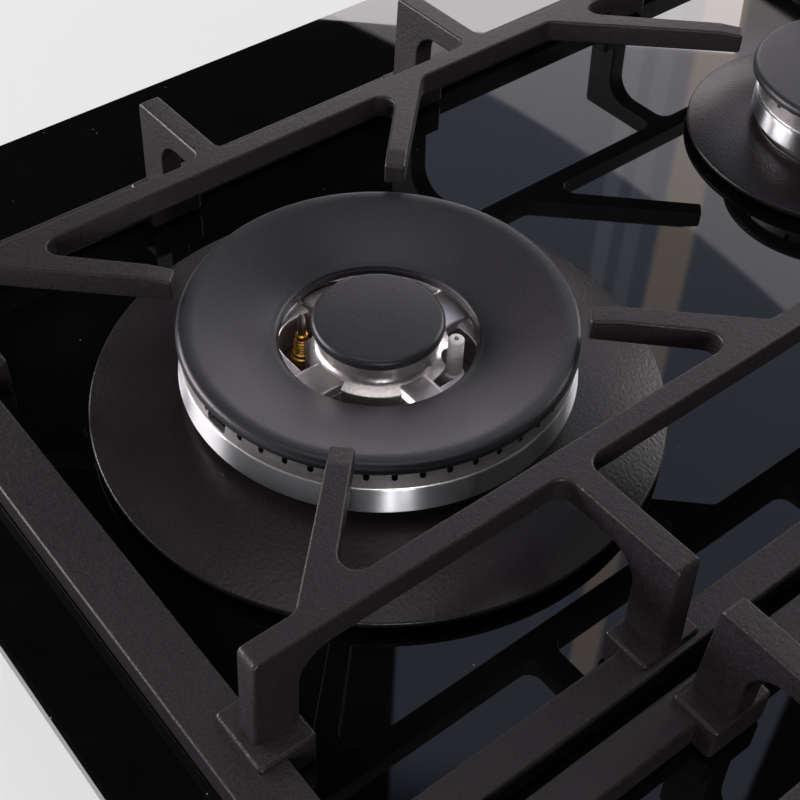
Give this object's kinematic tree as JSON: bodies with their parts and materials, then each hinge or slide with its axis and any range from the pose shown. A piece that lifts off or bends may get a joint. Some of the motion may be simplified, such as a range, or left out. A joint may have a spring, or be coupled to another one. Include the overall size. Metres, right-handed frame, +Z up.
{
  "type": "gas cooktop",
  "caption": "Gas cooktop: black glass panel, cast pan supports, a dual-ring wok burner and smaller burners, push-and-turn knobs, burner box and gas rail below.",
  "frame": {"origin": "the middle of the underside of the burner box, on the bounding box's lower face", "axes": "+X to the user's right, +Y away from the user, +Z up"},
  "size_m": [0.76, 0.53, 0.1072],
  "materials": {
    "black_glass": "polished black, opaque",
    "cast_iron": "matt enamelled cast iron, fine grain",
    "enamel_cap": "satin black enamel",
    "enamelled_plate": "black enamel with orange-peel texture",
    "cast_aluminium": "as cast with polished bands",
    "brass": "machined",
    "ceramic": "satin white",
    "plated_steel": "zinc plated",
    "coated_steel": "grey coated sheet steel",
    "knob_black": "satin black",
    "seal_rubber": "matt"
  },
  "bodies": {
    "base": {"burner_box": "coated_steel", "gasket": "seal_rubber", "worktop_seal": "seal_rubber", "glass_panel": "black_glass", "gas_rail": "plated_steel", "wok_cup": "cast_aluminium", "wok_skirt": "enamelled_plate", "wok_electrode": "ceramic", "wok_thermocouple": "brass", "wok_valve": "brass", "wok_feed_tube": "plated_steel", "rapid_cup": "cast_aluminium", "rapid_skirt": "enamelled_plate", "rapid_electrode": "ceramic", "rapid_thermocouple": "brass", "rapid_valve": "brass", "rapid_feed_tube": "plated_steel", "semi_rapid_cup": "cast_aluminium", "semi_rapid_skirt": "enamelled_plate", "semi_rapid_electrode": "ceramic", "semi_rapid_thermocouple": "brass", "semi_rapid_valve": "brass", "semi_rapid_feed_tube": "plated_steel", "auxiliary_cup": "cast_aluminium", "auxiliary_skirt": "enamelled_plate", "auxiliary_electrode": "ceramic", "auxiliary_thermocouple": "brass", "auxiliary_valve": "brass", "auxiliary_feed_tube": "plated_steel"},
    "pan_support_left": {"support_left": "cast_iron", "support_left_foot_front_left": "seal_rubber", "support_left_foot_front_right": "seal_rubber", "support_left_foot_rear_left": "seal_rubber", "support_left_foot_rear_right": "seal_rubber"},
    "pan_support_right": {"support_right": "cast_iron", "support_right_foot_front_left": "seal_rubber", "support_right_foot_front_right": "seal_rubber", "support_right_foot_rear_left": "seal_rubber", "support_right_foot_rear_right": "seal_rubber"},
    "wok_burner_head": {"wok_head": "cast_aluminium"},
    "wok_outer_cap": {"wok_ring_cap": "enamel_cap"},
    "wok_centre_cap": {"wok_inner_cap": "enamel_cap"},
    "rapid_burner_head": {"rapid_head": "cast_aluminium"},
    "rapid_burner_cap": {"rapid_cap": "enamel_cap"},
    "semi_rapid_burner_head": {"semi_rapid_head": "cast_aluminium"},
    "semi_rapid_burner_cap": {"semi_rapid_cap": "enamel_cap"},
    "auxiliary_burner_head": {"auxiliary_head": "cast_aluminium"},
    "auxiliary_burner_cap": {"auxiliary_cap": "enamel_cap"},
    "auxiliary_push": {"auxiliary_collar": "plated_steel"},
    "auxiliary_control": {"auxiliary_stem": "plated_steel", "auxiliary_knob": "knob_black"},
    "wok_push": {"wok_collar": "plated_steel"},
    "wok_control": {"wok_stem": "plated_steel", "wok_knob": "knob_black"},
    "rapid_push": {"rapid_collar": "plated_steel"},
    "rapid_control": {"rapid_stem": "plated_steel", "rapid_knob": "knob_black"},
    "semi_rapid_push": {"semi_rapid_collar": "plated_steel"},
    "semi_rapid_control": {"semi_rapid_stem": "plated_steel", "semi_rapid_knob": "knob_black"}
  },
  "joints": [
    {"name": "support_left_lift", "type": "slide", "parent": "base", "child": "pan_support_left", "axis": [0, 0, 1], "range_m": [0, 0.12]},
    {"name": "support_right_lift", "type": "slide", "parent": "base", "child": "pan_support_right", "axis": [0, 0, 1], "range_m": [0, 0.12]},
    {"name": "wok_head_lift", "type": "slide", "parent": "base", "child": "wok_burner_head", "axis": [0, 0, 1], "range_m": [0, 0.05]},
    {"name": "wok_ring_cap_lift", "type": "slide", "parent": "wok_burner_head", "child": "wok_outer_cap", "axis": [0, 0, 1], "range_m": [0, 0.04]},
    {"name": "wok_inner_cap_lift", "type": "slide", "parent": "wok_burner_head", "child": "wok_centre_cap", "axis": [0, 0, 1], "range_m": [0, 0.04]},
    {"name": "rapid_head_lift", "type": "slide", "parent": "base", "child": "rapid_burner_head", "axis": [0, 0, 1], "range_m": [0, 0.05]},
    {"name": "rapid_cap_lift", "type": "slide", "parent": "rapid_burner_head", "child": "rapid_burner_cap", "axis": [0, 0, 1], "range_m": [0, 0.04]},
    {"name": "semi_rapid_head_lift", "type": "slide", "parent": "base", "child": "semi_rapid_burner_head", "axis": [0, 0, 1], "range_m": [0, 0.05]},
    {"name": "semi_rapid_cap_lift", "type": "slide", "parent": "semi_rapid_burner_head", "child": "semi_rapid_burner_cap", "axis": [0, 0, 1], "range_m": [0, 0.04]},
    {"name": "auxiliary_head_lift", "type": "slide", "parent": "base", "child": "auxiliary_burner_head", "axis": [0, 0, 1], "range_m": [0, 0.05]},
    {"name": "auxiliary_cap_lift", "type": "slide", "parent": "auxiliary_burner_head", "child": "auxiliary_burner_cap", "axis": [0, 0, 1], "range_m": [0, 0.04]},
    {"name": "auxiliary_knob_push", "type": "slide", "parent": "base", "child": "auxiliary_push", "axis": [0, 0, -1], "range_m": [0, 0.003], "stiffness_N_per_m": 900, "springref_m": -0.004},
    {"name": "auxiliary_knob_turn", "type": "hinge", "parent": "auxiliary_push", "child": "auxiliary_control", "pos_m": [0.324, -0.132, 0.068], "axis": [0, 0, 1], "range_deg": [0, 210]},
    {"name": "wok_knob_push", "type": "slide", "parent": "base", "child": "wok_push", "axis": [0, 0, -1], "range_m": [0, 0.003], "stiffness_N_per_m": 900, "springref_m": -0.004},
    {"name": "wok_knob_turn", "type": "hinge", "parent": "wok_push", "child": "wok_control", "pos_m": [0.324, -0.054, 0.068], "axis": [0, 0, 1], "range_deg": [0, 210]},
    {"name": "rapid_knob_push", "type": "slide", "parent": "base", "child": "rapid_push", "axis": [0, 0, -1], "range_m": [0, 0.003], "stiffness_N_per_m": 900, "springref_m": -0.004},
    {"name": "rapid_knob_turn", "type": "hinge", "parent": "rapid_push", "child": "rapid_control", "pos_m": [0.324, 0.024, 0.068], "axis": [0, 0, 1], "range_deg": [0, 210]},
    {"name": "semi_rapid_knob_push", "type": "slide", "parent": "base", "child": "semi_rapid_push", "axis": [0, 0, -1], "range_m": [0, 0.003], "stiffness_N_per_m": 900, "springref_m": -0.004},
    {"name": "semi_rapid_knob_turn", "type": "hinge", "parent": "semi_rapid_push", "child": "semi_rapid_control", "pos_m": [0.324, 0.102, 0.068], "axis": [0, 0, 1], "range_deg": [0, 210]}
  ]
}
